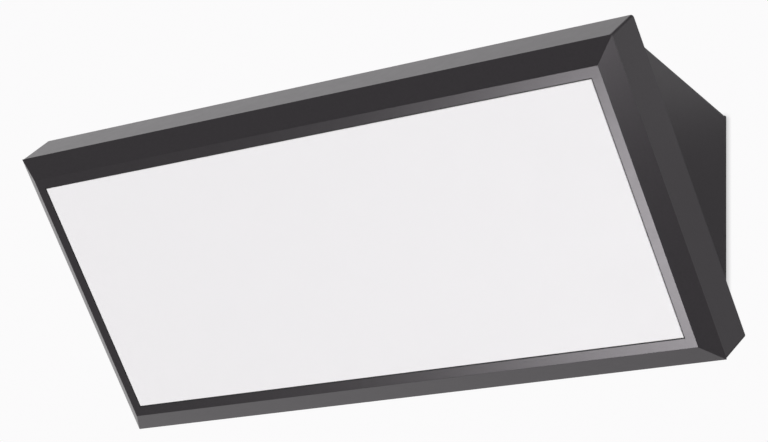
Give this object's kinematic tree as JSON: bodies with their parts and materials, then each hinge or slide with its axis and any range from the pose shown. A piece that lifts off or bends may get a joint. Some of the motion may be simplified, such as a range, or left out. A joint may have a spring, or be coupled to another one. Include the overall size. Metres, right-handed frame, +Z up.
{
  "type": "wall pack light",
  "caption": "Rectangular outdoor wall light with a downward-leaning opal front in a hinged bevelled frame, on a wedge-shaped housing that hangs on a wall bracket.",
  "frame": {"origin": "middle of the bracket's two fixing slots, on the wall's plane", "axes": "+Z up, +Y into the wall, +X to the right for someone facing the light; the light stands out along -Y"},
  "size_m": [0.2506, 0.0874, 0.0968],
  "materials": {
    "graphite_paint": "satin powder coat with a fine texture",
    "opal_plastic": "opal, satin",
    "black_rubber": "matt",
    "black_foam": "matt foam",
    "stainless": "brushed",
    "zinc_steel": "bright zinc",
    "white_enamel": "white, satin",
    "grey_pad": "matt",
    "led_yellow": "phosphor under clear resin",
    "white_plastic": "satin",
    "board_green": "solder mask",
    "transformer_yellow": "tape",
    "capacitor_sleeve": "shrink sleeve",
    "nylon_black": "moulded",
    "tinned_brass": "tinned",
    "red_wire": "insulation",
    "black_wire": "insulation",
    "brown_wire": "insulation",
    "blue_wire": "insulation",
    "green_wire": "insulation"
  },
  "bodies": {
    "housing": {"rear_housing": "graphite_paint", "gland_seal": "black_rubber", "tray_grommet": "black_rubber", "gland_washer": "black_rubber", "wall_gasket": "black_foam", "hinge_pins": "stainless", "door_screws": "stainless", "door_screw_washers": "stainless", "bracket_screws": "stainless", "bracket_screw_washers": "stainless", "wall_bracket": "zinc_steel", "led_tray_screws": "zinc_steel", "led_board_screws": "zinc_steel", "driver_screws": "zinc_steel", "terminal_block_screws": "zinc_steel", "terminal_screws": "zinc_steel", "earth_screw": "zinc_steel", "led_tray": "white_enamel", "led_board": "white_enamel", "thermal_pad": "grey_pad", "led_chips": "led_yellow", "driver_case": "white_plastic", "driver_lid": "white_plastic", "terminal_block": "white_plastic", "board_connector": "white_plastic", "driver_board": "board_green", "driver_transformer": "transformer_yellow", "driver_capacitors": "capacitor_sleeve", "gland_body": "nylon_black", "gland_nut": "nylon_black", "gland_locknut": "nylon_black", "earth_lug": "tinned_brass", "led_lead_red": "red_wire", "led_lead_black": "black_wire", "live_wire": "brown_wire", "neutral_wire": "blue_wire", "earth_wire": "green_wire"},
    "front": {"front_frame": "graphite_paint", "diffuser": "opal_plastic", "diffuser_seal": "black_rubber", "frame_gasket": "black_foam"}
  },
  "joints": [
    {"name": "front_hinge", "type": "hinge", "parent": "housing", "child": "front", "pos_m": [0, -0.06819, 0.04359], "axis": [-1, 0, 0], "range_deg": [0, 75]}
  ]
}
